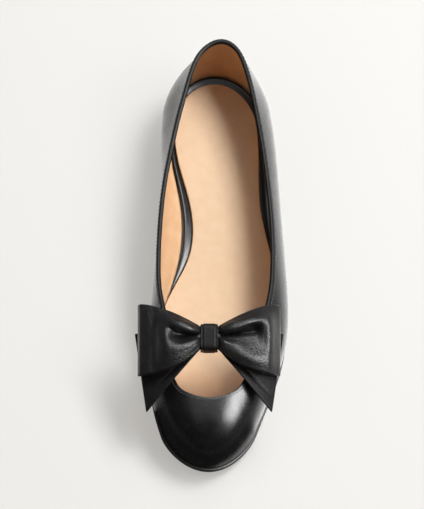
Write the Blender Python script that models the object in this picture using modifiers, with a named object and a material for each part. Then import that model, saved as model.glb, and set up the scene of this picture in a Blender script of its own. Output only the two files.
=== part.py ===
"""Ballet flat for a left foot: a leather upper with a half-moon cut-out and a bow, on a thin sole.

The toe points along -Y, the outer side of the foot is +X, and the sole stands on z = 0.
Every length is in metres. The sections in the tables are shares of the named sizes.
"""

import math
from collections import namedtuple

import bmesh
import bpy
import numpy as np

# Overall sizes
LENGTH = 0.251  # from the back of the heel to the tip of the sole
BALL_WIDTH = 0.075  # of the sole's seam line, across the ball of the foot
BACK_HEIGHT = 0.062  # of the collar at the back, above the floor
AXIS_X = 0.0030  # the shoe's straight axis stands this far to the outer side
TOE_SWING = 0.0048  # the toe's centre stands this far to the inner side of that axis
SEAT_SWING = 0.0015  # and the heel seat's centre this far

# Sole and heel
OUTSOLE_THICKNESS = 0.003
OUTSOLE_MARGIN = 0.0008  # that the sole stands out past the upper's lower edge
OUTSOLE_EDGE_ROUND = 0.0007
HEEL_HEIGHT = 0.0125
HEEL_LENGTH = 0.048
HEEL_TAPER = 0.0016  # that the heel's foot is smaller than its seat, each side
HEEL_BREAST_HOLLOW = 0.004
HEEL_EDGE_ROUND = 0.0008
HEEL_OVERHANG = 0.0024  # that the upper's back swells past its lower edge
HEEL_ROUND = 0.031  # length of the heel end's curve, seen from above
TOE_ROUND = 0.023  # length of the toe end's curve, seen from above
TOE_SPRING = 0.005
FLAT_FROM = 0.60  # shares of the sole's length between which the forefoot is flat
FLAT_TO = 0.75

# Upper
UPPER_WALL = 0.0013
STRAP_WIDTH = 0.0100
STRAP_FORWARD = 0.0053  # that the strap's middle lies nearer the toe than its ends do
STRAP_CROWN = 0.0080  # that it stands higher than they do
VAMP_SLOPE = 0.27  # rise of the vamp's ridge towards the ankle, for each unit along
VAMP_X = -0.0046  # the vamp's ridge and the bow's middle, from the shoe's straight axis

# Binding round the collar
BINDING_THICKNESS = 0.0004
BINDING_DEPTH = 0.0026

# Insole and sock
INSOLE_THICKNESS = 0.0028
SOCK_THICKNESS = 0.0018
RAND_WIDTH = 0.0060  # widest border of the insole that the sock leaves bare

# Bow
BOW_LEATHER = 0.0014
BOW_GATHER = 0.0112  # height of the loops and tails where the knot holds them
LOOP_REACH = 0.0400
LOOP_RISE = 0.0204  # of the outer fold above the knot's middle, towards the ankle
LOOP_DROP = 0.0197  # and below it, towards the toe
LOOP_PUFF = 0.0066
LOOP_PLEAT = 0.0042  # depth of the fold that runs out from the knot
LOOP_DROOP = 0.0098
TAIL_TOP_REACH = 0.0413
TAIL_TIP_REACH = 0.0350
TAIL_TIP_DROP = 0.0402  # from the knot's middle to the tail's point, along the vamp
TAIL_TOP_RISE = 0.0050
TAIL_DROOP = 0.0128
KNOT_WIDTH = 0.0097
KNOT_LEATHER = 0.0012
KNOT_CORNER = 0.0009

GAP = 0.0003  # between pieces that touch
KNOT_SLACK = 0.0005  # extra room for the curve of the strap inside the knot

# Mesh steps
COLUMNS = 96  # round the shoe, from the heel's back by the outer side to the toe and home
WALL_ROWS = 8
STRAP_STEPS = 12
HEEL_STEPS = 40
HEEL_BREAST_STEPS = 9
STRAP_REAR_TURN = 112.5  # where the strap leaves the upper's side, in degrees round the shoe
STRAP_FRONT_TURN = 127.5

Outline = namedtuple("Outline", "at outer inner outer_rand inner_rand")
OUTLINE = [
    # at is a share of the sole's length from the heel, outer and inner are half widths as shares
    # of the ball's width, and the rands are the bare borders as shares of the widest one.
    Outline(0.00, 0.360, 0.360, 0.90, 0.90),
    Outline(0.08, 0.368, 0.365, 0.74, 0.66),
    Outline(0.16, 0.391, 0.372, 0.62, 0.44),
    Outline(0.25, 0.412, 0.346, 0.84, 0.50),
    Outline(0.35, 0.426, 0.291, 0.88, 0.79),
    Outline(0.45, 0.453, 0.300, 0.33, 0.83),
    Outline(0.55, 0.501, 0.378, 0.06, 0.13),
    Outline(0.62, 0.535, 0.434, 0.05, 0.05),
    Outline(0.70, 0.539, 0.457, 0.05, 0.05),
    Outline(0.78, 0.485, 0.440, 0.05, 0.05),
    Outline(0.86, 0.398, 0.393, 0.05, 0.05),
    Outline(0.93, 0.320, 0.329, 0.05, 0.05),
    Outline(1.00, 0.268, 0.276, 0.05, 0.05),
]

Section = namedtuple("Section", "turn back out up flare lean")
# turn is in degrees round the shoe, 0 at the heel's back and 180 at the toe. back, out and up place
# the upper's free edge, as shares of the length, of the ball's width and of the back height.
# flare and lean are degrees from upright: outwards at the sole, and inwards at the free edge.
HEEL_SECTION = Section(0.0, 0.014, 0.031, 1.000, 12, 10)
TOE_SECTION = Section(180.0, 0.884, -0.061, 0.645, 8, 73)
OUTER_SECTIONS = [
    Section(16.3, 0.030, 0.143, 0.984, 15, 11),
    Section(23.1, 0.050, 0.186, 0.972, 17, 14),
    Section(32.9, 0.103, 0.243, 0.945, 20, 20),
    Section(40.5, 0.148, 0.276, 0.916, 23, 24),
    Section(47.2, 0.188, 0.302, 0.884, 25, 27),
    Section(60.0, 0.276, 0.352, 0.816, 27, 28),
    Section(72.5, 0.368, 0.391, 0.748, 27, 28),
    Section(84.3, 0.460, 0.416, 0.697, 25, 28),
    Section(95.7, 0.552, 0.420, 0.666, 22, 30),
    Section(103.9, 0.612, 0.404, 0.655, 19, 34),
    Section(112.5, 0.676, 0.357, 0.655, 15, 42),
    Section(120.0, 0.732, 0.310, 0.652, 12, 49),
    Section(127.5, 0.790, 0.262, 0.636, 11, 55),
    Section(136.0, 0.837, 0.205, 0.620, 10, 60),
    Section(149.3, 0.866, 0.123, 0.630, 9, 67),
]
INNER_SECTIONS = [
    Section(16.3, 0.030, 0.095, 0.984, 15, 11),
    Section(23.1, 0.050, 0.150, 0.972, 17, 14),
    Section(32.9, 0.103, 0.216, 0.945, 21, 20),
    Section(40.5, 0.150, 0.258, 0.916, 25, 22),
    Section(47.2, 0.190, 0.294, 0.882, 29, 22),
    Section(60.0, 0.280, 0.361, 0.812, 36, 18),
    Section(72.5, 0.366, 0.413, 0.742, 40, 12),
    Section(84.3, 0.456, 0.441, 0.692, 40, 9),
    Section(95.7, 0.550, 0.450, 0.661, 30, 13),
    Section(103.9, 0.612, 0.438, 0.653, 20, 20),
    Section(112.5, 0.672, 0.402, 0.658, 15, 36),
    Section(120.0, 0.728, 0.385, 0.647, 12, 44),
    Section(127.5, 0.788, 0.368, 0.622, 11, 51),
    Section(136.0, 0.837, 0.323, 0.612, 10, 59),
    Section(149.3, 0.866, 0.245, 0.627, 9, 67),
]

HEEL_Y = LENGTH / 2
SOLE_REAR_Y = HEEL_Y - HEEL_OVERHANG
SEAM_LENGTH = LENGTH - HEEL_OVERHANG - OUTSOLE_MARGIN


def closed_spline(knots, rows, period):
    """A smooth closed curve through the rows, as a function of the knot value."""
    knots, rows = np.asarray(knots, float), np.asarray(rows, float)
    steps = np.diff(np.append(knots, knots[0] + period))
    slopes = (np.roll(rows, -1, axis=0) - rows) / steps[:, None]
    count = len(knots)
    system = np.zeros((count, count))
    for k in range(count):
        system[k, k - 1] = steps[k - 1]
        system[k, k] = 2 * (steps[k - 1] + steps[k])
        system[k, (k + 1) % count] = steps[k]
    bends = np.linalg.solve(system, 6 * (slopes - np.roll(slopes, 1, axis=0)))

    def at(value):
        value = (value - knots[0]) % period + knots[0]
        k = int(np.searchsorted(knots, value, side="right")) - 1
        after = (k + 1) % count
        step = steps[k]
        b = (value - knots[k]) / step
        a = 1 - b
        curve = (a**3 - a) * bends[k] + (b**3 - b) * bends[after]
        return a * rows[k] + b * rows[after] + curve * step**2 / 6

    return at


def turn_of(at):
    """Degrees round the shoe of a share of the sole's length, on the outer side."""
    return math.degrees(math.acos(1 - 2 * at))


def share_of(turn):
    """The share of the sole's length at a turn, whichever side it is on."""
    return (1 - math.cos(math.radians(turn))) / 2


def outline_table():
    inside = OUTLINE[1:-1]
    heel, toe = OUTLINE[0], OUTLINE[-1]
    knots = [0.0, *(turn_of(r.at) for r in inside), 180.0]
    knots += [360 - turn_of(r.at) for r in reversed(inside)]
    rows = [(heel.outer, heel.outer_rand), *((r.outer, r.outer_rand) for r in inside)]
    rows += [(toe.outer, toe.outer_rand)]
    rows += [(r.inner, r.inner_rand) for r in reversed(inside)]
    return closed_spline(knots, rows, 360.0)


def section_table():
    outer = [tuple(s) for s in OUTER_SECTIONS]
    inner = [(360 - s.turn, s.back, -s.out, *s[3:]) for s in reversed(INNER_SECTIONS)]
    rows = [tuple(HEEL_SECTION), *outer, tuple(TOE_SECTION), *inner]
    return closed_spline([r[0] for r in rows], [r[1:] for r in rows], 360.0)


outline_at = outline_table()
section_at = section_table()


def unit(vector):
    return vector / np.linalg.norm(vector)


def ease(value):
    value = min(1.0, max(0.0, value))
    return value * value * (3 - 2 * value)


def end_curve(distance, length):
    """The share of its full width that the outline has at this distance from an end."""
    if distance >= length:
        return 1.0
    return math.sqrt(max(0.0, 1 - (1 - distance / length) ** 2))


def sole_bottom(y):
    """Height of the outsole's underside: on the heel, down the arch, flat, and up to the toe."""
    at = (SOLE_REAR_Y - y) / SEAM_LENGTH
    heel_end = HEEL_LENGTH / SEAM_LENGTH
    if at <= FLAT_FROM:
        return HEEL_HEIGHT * (1 - ease((at - heel_end) / (FLAT_FROM - heel_end)))
    return TOE_SPRING * max(0.0, (at - FLAT_TO) / (1 - FLAT_TO)) ** 2


def seam_point(turn):
    """Plan point of the seam where the upper meets the sole."""
    at = share_of(turn)
    half = outline_at(turn)[0] * BALL_WIDTH
    half *= end_curve(at * SEAM_LENGTH, HEEL_ROUND)
    half *= end_curve((1 - at) * SEAM_LENGTH, TOE_ROUND)
    centre = AXIS_X - TOE_SWING * ease((at - 0.42) / 0.44) - SEAT_SWING * (1 - ease(at / 0.35))
    side = 1 if turn % 360 < 180 else -1
    return np.array([centre + side * half, SOLE_REAR_Y - at * SEAM_LENGTH])


def plan_normal(curve, turn):
    """Outward unit normal, seen from above, of a closed plan curve at a turn."""
    step = 0.4
    run = curve(turn + step)[:2] - curve(turn - step)[:2]
    return unit(np.array([-run[1], run[0]]))


def seam_offset(turn, inset):
    """The seam's plan point moved inwards by a distance."""
    return seam_point(turn) - inset * plan_normal(seam_point, turn)


def edge_point(turn):
    """The upper's free edge: the collar, the strap's root and the cut-out's front."""
    back, out, up = section_at(turn)[:3]
    x, y = AXIS_X + out * BALL_WIDTH, HEEL_Y - back * LENGTH
    return np.array([x, y, up * BACK_HEIGHT])


def strap_middle():
    """The strap's middle under the bow: its place along the shoe and its height."""
    turn = (STRAP_REAR_TURN + STRAP_FRONT_TURN) / 2
    y, z = (edge_point(turn)[1:] + edge_point(-turn)[1:]) / 2
    return y - STRAP_FORWARD, z + STRAP_CROWN


def wall_handles(turn):
    """The four control points of the upper's section, from the seam to the free edge."""
    flare, lean = np.radians(section_at(turn)[3:])
    x, y = seam_point(turn)
    foot = np.array([x, y, sole_bottom(y) + OUTSOLE_THICKNESS + GAP])
    top = edge_point(turn)
    out = np.append(plan_normal(seam_point, turn), 0)
    inward = -np.append(plan_normal(edge_point, turn), 0)
    up = np.array([0, 0, 1.0])
    rise, chord = top[2] - foot[2], np.linalg.norm(top - foot)
    fullness = 0.42 + 0.12 * ease((math.degrees(lean) - 30) / 40)
    start = foot + fullness * rise * (math.sin(flare) * out + math.cos(flare) * up)
    end_way = math.sin(lean) * inward + math.cos(lean) * up
    return foot, start, top - 0.42 * chord * end_way, top, end_way


def bezier(points, t):
    a, b, c, d = points
    s = 1 - t
    return s**3 * a + 3 * s * s * t * b + 3 * s * t * t * c + t**3 * d


def wall_point(turn, rise):
    """The upper's outer face, at a turn round the shoe and a share of the way up its wall."""
    return bezier(wall_handles(turn)[:4], rise)


def strap_point(turn, row, across):
    """The strap's outer face between the two sides at a turn.

    row runs from its ankle side to its toe side, and across from the inner side to the outer.
    """
    inner, outer = wall_handles(360 - turn), wall_handles(turn)
    a, b = inner[3], outer[3]
    forward = (row - 0.5) * STRAP_WIDTH
    middle_y, middle_z = strap_middle()
    middle_y -= forward
    middle_z -= VAMP_SLOPE * forward
    rise = (8 * middle_z - 4 * (a[2] + b[2])) / (3 * (inner[4][2] + outer[4][2]))
    point = bezier((a, a + rise * inner[4], b + rise * outer[4], b), across)
    reach = 1 - abs(2 * across - 1) ** 3
    ends_y = a[1] + (b[1] - a[1]) * across
    point[1] = ends_y + (middle_y - (a[1] + b[1]) / 2) * reach
    return point


def new_object(name, mesh, material):
    obj = bpy.data.objects.new(name, mesh)
    collection.objects.link(obj)
    mesh.materials.append(material)
    mesh.shade_smooth()
    mesh.set_sharp_from_angle(angle=math.radians(40))
    return obj


def mesh_from(name, points, faces):
    mesh = bpy.data.meshes.new(name)
    mesh.from_pydata([tuple(p) for p in points], [], faces)
    work = bmesh.new()
    work.from_mesh(mesh)
    bmesh.ops.recalc_face_normals(work, faces=work.faces)
    work.to_mesh(mesh)
    work.free()
    return mesh


def plain_material(name, colour, roughness):
    material = bpy.data.materials.new(name)
    material.use_nodes = True
    shader = material.node_tree.nodes["Principled BSDF"]
    shader.inputs["Base Color"].default_value = (*colour, 1)
    shader.inputs["Roughness"].default_value = roughness
    shader.inputs["Metallic"].default_value = 0.0
    return material


def thicken(obj, thickness, offset):
    shell = obj.modifiers.new("wall", "SOLIDIFY")
    shell.thickness = thickness
    shell.offset = offset
    shell.use_even_offset = True


def strap_columns():
    """The column numbers at the strap's ankle side and toe side, on the outer side."""
    return round(STRAP_REAR_TURN / 360 * COLUMNS), round(STRAP_FRONT_TURN / 360 * COLUMNS)


def upper_surface():
    """Points and faces of the upper's outer face: the wall right round, and the strap.

    The collar comes back too, as each point on its edge with a neighbour inside the face.
    """
    turns = [360 * k / COLUMNS for k in range(COLUMNS)]
    points = [wall_point(t, r / WALL_ROWS) for r in range(WALL_ROWS + 1) for t in turns]
    faces = []
    for r in range(WALL_ROWS):
        for k in range(COLUMNS):
            k2 = (k + 1) % COLUMNS
            low, high = r * COLUMNS, (r + 1) * COLUMNS
            faces.append((low + k, low + k2, high + k2, high + k))
    rear, front = strap_columns()
    rim = WALL_ROWS * COLUMNS
    lines = []
    for k in range(rear, front + 1):
        turn, row = turns[k], (k - rear) / (front - rear)
        line = [rim + COLUMNS - k]
        for q in range(1, STRAP_STEPS):
            line.append(len(points))
            points.append(strap_point(turn, row, q / STRAP_STEPS))
        lines.append([*line, rim + k])
    for ahead, behind in zip(lines[1:], lines):
        for q in range(STRAP_STEPS):
            faces.append((behind[q], behind[q + 1], ahead[q + 1], ahead[q]))
    sides = range(rear, -rear - 1, -1)
    collar = [(rim + k % COLUMNS, rim - COLUMNS + k % COLUMNS) for k in sides]
    collar += list(zip(lines[0][1:-1], lines[1][1:-1]))
    return points, faces, collar


def make_upper():
    points, faces, collar = upper_surface()
    mesh = mesh_from("upper", points, faces)
    highest = max(mesh.polygons, key=lambda face: face.center.z)
    if highest.normal.y < 0:
        mesh.flip_normals()
    obj = new_object("upper", mesh, UPPER_MATERIAL)
    thicken(obj, UPPER_WALL, -1)
    return mesh, collar


def collar_path(mesh, collar):
    """Points right round the collar, each with the way out of the wall and the way off its edge."""
    spots = [np.array(v.co) for v in mesh.vertices]
    found = []
    for k, (edge, inside) in enumerate(collar):
        along = spots[collar[(k + 1) % len(collar)][0]] - spots[collar[k - 1][0]]
        normal = np.array(mesh.vertices[edge].normal)
        away = unit(np.cross(along, normal))
        if away @ (spots[edge] - spots[inside]) < 0:
            away = -away
        found.append((spots[edge], normal, away))
    return found


def binding_profile():
    """The binding's section, folded over the edge: (way off the edge, way out of the wall)."""
    clear = GAP
    skin = clear + BINDING_THICKNESS
    middle = -UPPER_WALL / 2
    radius = UPPER_WALL / 2 + skin
    outside = [(-BINDING_DEPTH, skin)]
    for degrees in (90, 45, 0, -45, -90):
        angle = math.radians(degrees)
        outside.append((skin * math.cos(angle), middle + radius * math.sin(angle)))
    outside.append((-BINDING_DEPTH, -UPPER_WALL - skin))
    inside = [
        (-BINDING_DEPTH, -UPPER_WALL - clear),
        (clear, -UPPER_WALL - clear),
        (clear, clear),
        (-BINDING_DEPTH, clear),
    ]
    return outside + inside


def make_binding(mesh, collar):
    path, profile = collar_path(mesh, collar), binding_profile()
    points = [here + b * away + n * normal for here, normal, away in path for b, n in profile]
    count, size = len(path), len(profile)
    faces = []
    for k in range(count):
        for j in range(size):
            a, b = k * size, (k + 1) % count * size
            j2 = (j + 1) % size
            faces.append((a + j, a + j2, b + j2, b + j))
    new_object("topline_binding", mesh_from("topline_binding", points, faces), BINDING_MATERIAL)


def slab(loops, name, material):
    """A closed solid through rings of points, each ring a turn round the shoe, with flat-ruled ends."""
    count = len(loops[0])
    points = [p for loop in loops for p in loop]
    faces = []
    for r in range(len(loops) - 1):
        for k in range(count):
            k2 = (k + 1) % count
            a, b = r * count, (r + 1) * count
            faces.append((a + k, a + k2, b + k2, b + k))
    half = count // 2
    for start in (0, (len(loops) - 1) * count):
        faces.append((start, start + 1, start + count - 1))
        for k in range(1, half - 1):
            faces.append((start + k, start + k + 1, start + count - k - 1, start + count - k))
        faces.append((start + half - 1, start + half, start + half + 1))
    new_object(name, mesh_from(name, points, faces), material)


def ring(inset_at, height_at):
    """Points round the shoe at an inset from the seam, at the height that its place along gives."""
    found = []
    for k in range(COLUMNS):
        turn = 360 * k / COLUMNS
        x, y = seam_offset(turn, inset_at(turn))
        found.append((x, y, height_at(y)))
    return found


def make_outsole():
    edge, thick = OUTSOLE_EDGE_ROUND, OUTSOLE_THICKNESS
    sections = [(edge, 0.0), (0.0, edge), (0.0, thick - edge / 2), (edge / 2, thick)]
    loops = []
    for inset, up in sections:
        loops.append(ring(lambda _: inset - OUTSOLE_MARGIN, lambda y: sole_bottom(y) + up))
    slab(loops, "outsole", SOLE_MATERIAL)


def even_run(line, steps):
    """The same open plan line, drawn in a number of equal steps."""
    line = np.array(line)
    lengths = np.append(0, np.cumsum(np.linalg.norm(np.diff(line, axis=0), axis=1)))
    places = np.linspace(0, lengths[-1], steps + 1)
    return np.column_stack([np.interp(places, lengths, line[:, axis]) for axis in (0, 1)])


def heel_ring(inset, height):
    """The sole's outline behind the breast and the hollow breast itself, moved in by the inset."""
    breast_y = SOLE_REAR_Y - HEEL_LENGTH + inset
    turns = [360 * k / COLUMNS for k in range(-COLUMNS // 2, COLUMNS // 2)]
    outline = [seam_offset(t, inset - OUTSOLE_MARGIN) for t in turns]
    found = list(even_run([p for p in outline if p[1] > breast_y], HEEL_STEPS))
    first, last = found[0], found[-1]
    for k in range(HEEL_BREAST_STEPS + 1):
        share = k / HEEL_BREAST_STEPS
        hollow = HEEL_BREAST_HOLLOW * 4 * share * (1 - share)
        found.append((last[0] + (first[0] - last[0]) * share, breast_y + hollow))
    return [(x, y, height) for x, y in found]


def make_heel():
    """The low heel, a little smaller at the floor, with its lower edge rounded."""
    loops = [
        heel_ring(HEEL_TAPER + 2 * HEEL_EDGE_ROUND, 0.0),
        heel_ring(HEEL_TAPER + HEEL_EDGE_ROUND, HEEL_EDGE_ROUND),
        heel_ring(HEEL_EDGE_ROUND, HEEL_HEIGHT - GAP),
    ]
    count = len(loops[0])
    points = [p for loop in loops for p in loop]
    faces = [tuple(range(count)), tuple(range(2 * count, 3 * count))]
    for r in range(2):
        for k in range(count):
            k2 = (k + 1) % count
            a, b = r * count, (r + 1) * count
            faces.append((a + k, a + k2, b + k2, b + k))
    new_object("heel", mesh_from("heel", points, faces), HEEL_MATERIAL)


def wall_at_seam(turn):
    """The upper's thickness measured level, where its wall flares out from the sole."""
    return UPPER_WALL / math.cos(math.radians(section_at(turn)[3]))


def make_insole():
    low = OUTSOLE_THICKNESS + GAP
    edge = INSOLE_THICKNESS / 4
    loops = []
    sections = [(edge, 0.0), (0.0, edge), (0.0, INSOLE_THICKNESS - edge), (edge, INSOLE_THICKNESS)]
    for inset, up in sections:
        loops.append(
            ring(
                lambda turn: wall_at_seam(turn) + GAP + inset,
                lambda y: sole_bottom(y) + low + up,
            )
        )
    slab(loops, "insole", INSOLE_MATERIAL)


def sock_inset(turn):
    return wall_at_seam(turn) + GAP + RAND_WIDTH * outline_at(turn)[1]


def make_sock():
    low = OUTSOLE_THICKNESS + INSOLE_THICKNESS + 2 * GAP
    edge = SOCK_THICKNESS / 2
    loops = []
    sections = [(0.0, 0.0), (0.0, SOCK_THICKNESS - edge), (edge * 0.3, SOCK_THICKNESS - edge * 0.3)]
    sections.append((edge, SOCK_THICKNESS))
    for inset, up in sections:
        loops.append(
            ring(lambda turn: sock_inset(turn) + inset, lambda y: sole_bottom(y) + low + up)
        )
    slab(loops, "sock", SOCK_MATERIAL)


def bow_point(across, along, off):
    """A point of the bow: across to the outer side, along the vamp to the toe, off its face."""
    steep = math.hypot(1, VAMP_SLOPE)
    forward = np.array([0, -1, -VAMP_SLOPE]) / steep
    normal = np.array([0, -VAMP_SLOPE, 1]) / steep
    middle = np.array([AXIS_X + VAMP_X, *strap_middle()])
    return middle + np.array([across, 0, 0]) + along * forward + off * normal


BINDING_SKIN = GAP + BINDING_THICKNESS
TAILS_OFF = BINDING_SKIN + GAP + BOW_LEATHER / 2
LOOP_BACK_OFF = TAILS_OFF + GAP + BOW_LEATHER
LOOP_FRONT_OFF = LOOP_BACK_OFF + GAP + BOW_LEATHER


def loop_share(reach):
    """How far out from the knot's side to the outer fold, from 0 to 1."""
    side = KNOT_WIDTH / 2 + GAP
    return max(0.0, reach - side) / (LOOP_REACH - side)


def loop_along(reach, level):
    """Place along the vamp, where level runs from -1 at the loop's ankle edge to 1 at its toe edge."""
    left = 1 - loop_share(reach)
    half = BOW_GATHER / 2
    rise = half + (LOOP_RISE - half) * (1 - left**1.35)
    drop = half + (LOOP_DROP - half) * (1 - left**2.6)
    return -rise + (rise + drop) * (level + 1) / 2


def loop_front_off(reach, level):
    """How far the loop's front stands off the vamp. level runs from -1, ankle side, to 1."""
    share = loop_share(reach)
    swell = math.sin(math.pi * share**0.62)
    crown = 1 - 0.45 * level**2
    pleat = math.exp(-(((level + 0.12) / 0.34) ** 2)) * ease(share / 0.12)
    pleat *= 1 - ease((share - 0.42) / 0.34)
    return LOOP_FRONT_OFF + LOOP_PUFF * swell * crown - LOOP_PLEAT * pleat * swell


def loop_path():
    """Stations round the closed band of the loops: (signed reach, share towards the front)."""
    side = KNOT_WIDTH / 2 + GAP
    front = [(s, 1.0) for s in (0.0, 0.05, 0.13, 0.24, 0.36, 0.49, 0.62, 0.75, 0.86, 0.94)]
    fold = [(0.985, 0.85), (1.0, 0.5), (0.985, 0.15)]
    back = [(s, 0.0) for s in (0.94, 0.80, 0.60, 0.40, 0.20, 0.0)]
    outer = [(side + (LOOP_REACH - side) * s, share) for s, share in [*front, *fold, *back]]
    inner = [(-reach, share) for reach, share in reversed(outer)]
    return [(0.0, 1.0), *outer, (0.0, 0.0), *inner]


def droop(reach, most):
    """How far a loop or tail has sunk towards the foot's sides at a distance out from the knot."""
    return most * (reach / LOOP_REACH) ** 2.5


def make_loops():
    path = loop_path()
    levels = [-1.0, -0.72, -0.42, -0.12, 0.2, 0.5, 0.76, 1.0]
    points = []
    for signed, front_share in path:
        reach = abs(signed)
        for level in levels:
            front = loop_front_off(reach, level)
            off = LOOP_BACK_OFF + (front - LOOP_BACK_OFF) * front_share
            off -= droop(reach, LOOP_DROOP)
            points.append(bow_point(signed, loop_along(reach, level), off))
    count, size = len(path), len(levels)
    faces = []
    for k in range(count):
        for j in range(size - 1):
            a, b = k * size + j, (k + 1) % count * size + j
            faces.append((a, b, b + 1, a + 1))
    obj = new_object("bow_loops", mesh_from("bow_loops", points, faces), BOW_MATERIAL)
    thicken(obj, BOW_LEATHER, 0)


def tail_edges(reach):
    """The tail's ankle edge and toe edge at a distance out from the knot: (across, along)."""
    half = BOW_GATHER / 2
    knot = KNOT_WIDTH / 2
    if reach <= knot:
        return (reach, -half), (reach, half)
    share = (reach - knot) / (TAIL_TOP_REACH - knot)
    top = (reach, -half + (half - TAIL_TOP_RISE) * share)
    tip = (knot + (TAIL_TIP_REACH - knot) * share, half + (TAIL_TIP_DROP - half) * share)
    return top, tip


def make_tails():
    knot = KNOT_WIDTH / 2
    steps, levels = 9, 6
    reaches = [knot + (TAIL_TOP_REACH - knot) * k / steps for k in range(steps + 1)]
    stations = [-r for r in reversed(reaches)] + [0.0] + reaches
    points = []
    for signed in stations:
        top, tip = tail_edges(abs(signed))
        for j in range(levels + 1):
            share = j / levels
            across = top[0] + (tip[0] - top[0]) * share
            along = top[1] + (tip[1] - top[1]) * share
            off = TAILS_OFF - droop(across, TAIL_DROOP)
            points.append(bow_point(math.copysign(across, signed), along, off))
    faces = []
    size = levels + 1
    for k in range(len(stations) - 1):
        for j in range(levels):
            a, b = k * size + j, (k + 1) * size + j
            faces.append((a, b, b + 1, a + 1))
    obj = new_object("bow_tails", mesh_from("bow_tails", points, faces), BOW_MATERIAL)
    thicken(obj, BOW_LEATHER, 0)


def make_knot():
    """The knot: a band round the loops, the tails and the strap."""
    low = -UPPER_WALL - BINDING_SKIN - GAP - KNOT_SLACK
    high = LOOP_FRONT_OFF + BOW_LEATHER / 2 + GAP
    half = max(BOW_GATHER / 2, STRAP_WIDTH / 2 + BINDING_SKIN) + GAP + KNOT_SLACK
    middle, tall = (low + high) / 2, (high - low) / 2
    corner, corner_steps = KNOT_CORNER, 4
    side, edge = KNOT_WIDTH / 2, KNOT_LEATHER / 3

    def band(grow, across):
        """One ring of the band, a rounded rectangle that grows outwards."""
        found = []
        for along_sign, off_sign, first in ((1, 1, 0), (-1, 1, 90), (-1, -1, 180), (1, -1, 270)):
            for k in range(corner_steps):
                angle = math.radians(first + 90 * k / (corner_steps - 1))
                along = along_sign * (half - corner) + (corner + grow) * math.cos(angle)
                off = off_sign * (tall - corner) + (corner + grow) * math.sin(angle)
                found.append(bow_point(across, along, middle + off))
        return found

    loops = [
        band(0, -side),
        band(KNOT_LEATHER - edge, -side),
        band(KNOT_LEATHER, -side + edge),
        band(KNOT_LEATHER, side - edge),
        band(KNOT_LEATHER - edge, side),
        band(0, side),
    ]
    steps = len(loops[0])
    points = [p for loop in loops for p in loop]
    faces = []
    for r in range(len(loops)):
        for k in range(steps):
            a, b = r * steps, (r + 1) % len(loops) * steps
            k2 = (k + 1) % steps
            faces.append((a + k, a + k2, b + k2, b + k))
    new_object("bow_knot", mesh_from("bow_knot", points, faces), BOW_MATERIAL)


for old in list(bpy.data.objects):
    bpy.data.objects.remove(old)

collection = bpy.data.collections.new("ballet_flat")
bpy.context.scene.collection.children.link(collection)

UPPER_MATERIAL = plain_material("black_leather", (0.013, 0.013, 0.014), 0.35)
BINDING_MATERIAL = plain_material("binding_leather", (0.011, 0.011, 0.012), 0.42)
SOLE_MATERIAL = plain_material("sole_rubber", (0.015, 0.015, 0.015), 0.60)
HEEL_MATERIAL = plain_material("heel_rubber", (0.015, 0.015, 0.015), 0.50)
INSOLE_MATERIAL = plain_material("insole_leather", (0.014, 0.014, 0.014), 0.45)
SOCK_MATERIAL = plain_material("sock_leather", (0.72, 0.47, 0.28), 0.55)
BOW_MATERIAL = plain_material("bow_leather", (0.013, 0.013, 0.014), 0.35)

make_binding(*make_upper())
make_outsole()
make_heel()
make_insole()
make_sock()
make_tails()
make_loops()
make_knot()
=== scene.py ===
"""Dresses the ballet flat: leather, lining, binding, stitches, sock and bow, on a pale floor.

The shape functions are those of the part's source, so that each piece lies on the solid that it
stands for. Every length is in metres.
"""

import math
from collections import namedtuple

import bmesh
import bpy
import numpy as np
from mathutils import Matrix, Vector


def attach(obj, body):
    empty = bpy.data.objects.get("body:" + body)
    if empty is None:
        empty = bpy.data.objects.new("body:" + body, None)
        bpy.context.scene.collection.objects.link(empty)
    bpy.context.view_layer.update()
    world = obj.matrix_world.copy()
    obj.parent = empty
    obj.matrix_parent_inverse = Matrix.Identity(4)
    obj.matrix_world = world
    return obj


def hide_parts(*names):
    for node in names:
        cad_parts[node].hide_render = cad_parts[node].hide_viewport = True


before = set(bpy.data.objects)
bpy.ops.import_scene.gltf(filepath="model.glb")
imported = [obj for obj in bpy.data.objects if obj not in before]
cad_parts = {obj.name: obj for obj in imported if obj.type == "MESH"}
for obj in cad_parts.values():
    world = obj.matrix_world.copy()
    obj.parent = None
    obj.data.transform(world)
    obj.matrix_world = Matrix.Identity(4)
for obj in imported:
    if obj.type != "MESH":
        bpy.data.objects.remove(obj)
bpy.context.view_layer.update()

# Overall sizes
LENGTH = 0.251  # from the back of the heel to the tip of the sole
BALL_WIDTH = 0.075  # of the sole's seam line, across the ball of the foot
BACK_HEIGHT = 0.062  # of the collar at the back, above the floor
AXIS_X = 0.0030  # the shoe's straight axis stands this far to the outer side
TOE_SWING = 0.0048  # the toe's centre stands this far to the inner side of that axis
SEAT_SWING = 0.0015  # and the heel seat's centre this far

# Sole and heel
OUTSOLE_THICKNESS = 0.003
OUTSOLE_MARGIN = 0.0008  # that the sole stands out past the upper's lower edge
HEEL_HEIGHT = 0.0125
HEEL_LENGTH = 0.048
HEEL_TAPER = 0.0016  # that the heel's foot is smaller than its seat, each side
HEEL_BREAST_HOLLOW = 0.004
HEEL_EDGE_ROUND = 0.0008
HEEL_OVERHANG = 0.0024  # that the upper's back swells past its lower edge
HEEL_ROUND = 0.031  # length of the heel end's curve, seen from above
TOE_ROUND = 0.023  # length of the toe end's curve, seen from above
TOE_SPRING = 0.005
FLAT_FROM = 0.60  # shares of the sole's length between which the forefoot is flat
FLAT_TO = 0.75

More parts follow.
